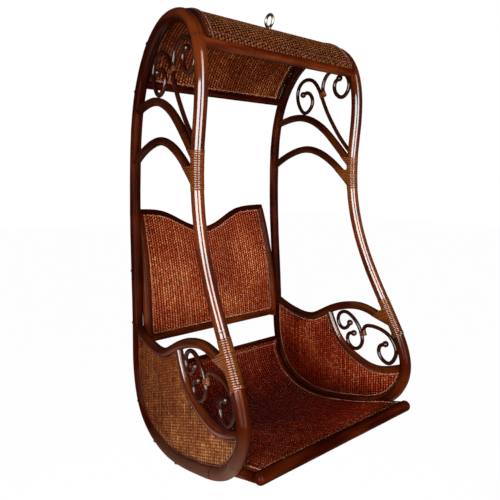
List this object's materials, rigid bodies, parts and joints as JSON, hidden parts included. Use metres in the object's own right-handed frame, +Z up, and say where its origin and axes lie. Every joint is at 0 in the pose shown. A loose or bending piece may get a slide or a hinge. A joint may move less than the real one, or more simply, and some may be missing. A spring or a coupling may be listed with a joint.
{
  "type": "hanging rattan chair",
  "caption": "Hanging chair of bent rattan with scrolled side frames, a woven roof, back and scoop seat, hung by one eye bolt that turns in a roof beam.",
  "frame": {"origin": "middle of the hole of the hanging eye, from which the chair hangs", "axes": "+Z up, +X to the right across the chair, -Y towards the front, where the sitter faces"},
  "size_m": [0.6642, 0.7556, 1.2973],
  "materials": {
    "rattan_pole": "glossy varnish",
    "rattan_cane": "glossy varnish",
    "woven_cane": "varnished weave",
    "cane_binding": "varnished flat cane",
    "steel": "plain steel"
  },
  "bodies": {
    "hanging_eye": {"eye_bolt": "steel", "eye_washer": "steel", "eye_nut": "steel"},
    "chair": {"ridge_beam": "rattan_pole", "roof_front_rail": "rattan_pole", "roof_rear_rail": "rattan_pole", "left_roof_rib": "rattan_cane", "right_roof_rib": "rattan_cane", "woven_roof": "woven_cane", "left_side_pole": "rattan_pole", "right_side_pole": "rattan_pole", "left_upper_brace": "rattan_pole", "right_upper_brace": "rattan_pole", "left_lower_brace": "rattan_pole", "right_lower_brace": "rattan_pole", "left_strut": "rattan_cane", "right_strut": "rattan_cane", "left_front_scroll": "rattan_cane", "right_front_scroll": "rattan_cane", "left_arm_rail": "rattan_pole", "right_arm_rail": "rattan_pole", "left_inner_rail": "rattan_pole", "right_inner_rail": "rattan_pole", "left_s_scroll": "rattan_cane", "right_s_scroll": "rattan_cane", "left_c_scroll": "rattan_cane", "right_c_scroll": "rattan_cane", "left_woven_side": "woven_cane", "right_woven_side": "woven_cane", "left_brace_binding": "cane_binding", "right_brace_binding": "cane_binding", "left_arm_binding": "cane_binding", "right_arm_binding": "cane_binding", "left_strut_tie": "cane_binding", "right_strut_tie": "cane_binding", "left_scroll_tie": "cane_binding", "right_scroll_tie": "cane_binding", "left_back_stile": "rattan_pole", "right_back_stile": "rattan_pole", "back_top_rail": "rattan_cane", "back_foot_rail": "rattan_cane", "woven_back": "woven_cane", "seat_rear_rail": "rattan_pole", "seat_front_rail": "rattan_pole", "left_seat_rail": "rattan_pole", "right_seat_rail": "rattan_pole", "rear_cross_bar": "rattan_cane", "front_cross_bar": "rattan_cane", "woven_seat": "woven_cane"}
  },
  "joints": [
    {"name": "swivel", "type": "hinge", "parent": "hanging_eye", "child": "chair", "pos_m": [0, 0, 0], "axis": [0, 0, 1], "continuous": true}
  ]
}
